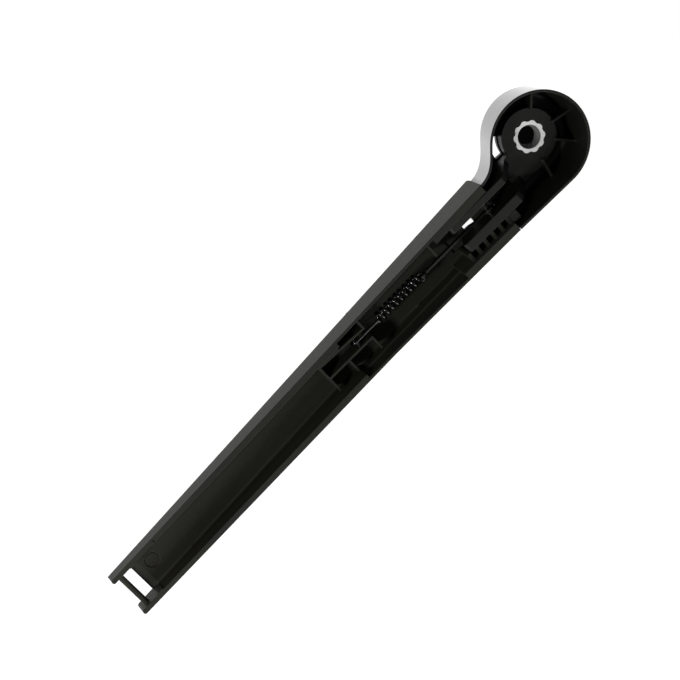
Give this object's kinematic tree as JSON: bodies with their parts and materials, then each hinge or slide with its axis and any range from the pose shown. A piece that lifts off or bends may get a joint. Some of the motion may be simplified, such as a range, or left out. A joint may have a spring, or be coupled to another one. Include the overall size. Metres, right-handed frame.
{
  "type": "wiper arm",
  "caption": "Moulded rear-window wiper arm with a round spindle head, sprung lift hinge, hollow ribbed underside and a forked blade end with a crossbar.",
  "frame": {"origin": "on the spindle axis, in the middle of the bore's cylindrical land", "axes": "+X along the arm from the spindle to the blade end, +Z along the spindle out of the bore's mouth towards the car, so the hollow underside faces up"},
  "size_m": [0.2788, 0.0457, 0.0266],
  "materials": {
    "black_plastic": "fine moulded grain, slight sheen",
    "cover_plastic": "smooth satin",
    "bright_insert": "bright plated",
    "pin_steel": "blackened and oiled",
    "link_steel": "blackened strip",
    "spring_steel": "blackened drawn wire"
  },
  "bodies": {
    "head": {"head_housing": "black_plastic", "spindle_insert": "bright_insert", "nut_cover": "cover_plastic", "hinge_pin_left": "pin_steel", "hinge_pin_right": "pin_steel", "link_pin": "pin_steel"},
    "arm": {"arm_shell": "black_plastic", "anchor_pin": "pin_steel"},
    "link": {"pull_link": "link_steel", "tension_spring": "spring_steel"}
  },
  "joints": [
    {"name": "arm_lift", "type": "hinge", "parent": "head", "child": "arm", "pos_m": [0.046, 0.00575, 0.00565], "axis": [0, 1, 0], "range_deg": [0, 35], "stiffness_Nm_per_rad": 0.5, "springref_deg": -114.59, "deforming": ["tension_spring"]},
    {"name": "link_swing", "type": "hinge", "parent": "head", "child": "link", "pos_m": [0.035, 0.00695, 0.01165], "axis": [0, 1, 0], "range_deg": [0, 30]}
  ],
  "couplings": [
    {"joint": "link_swing", "follows": "arm_lift", "ratio": 0.85}
  ]
}
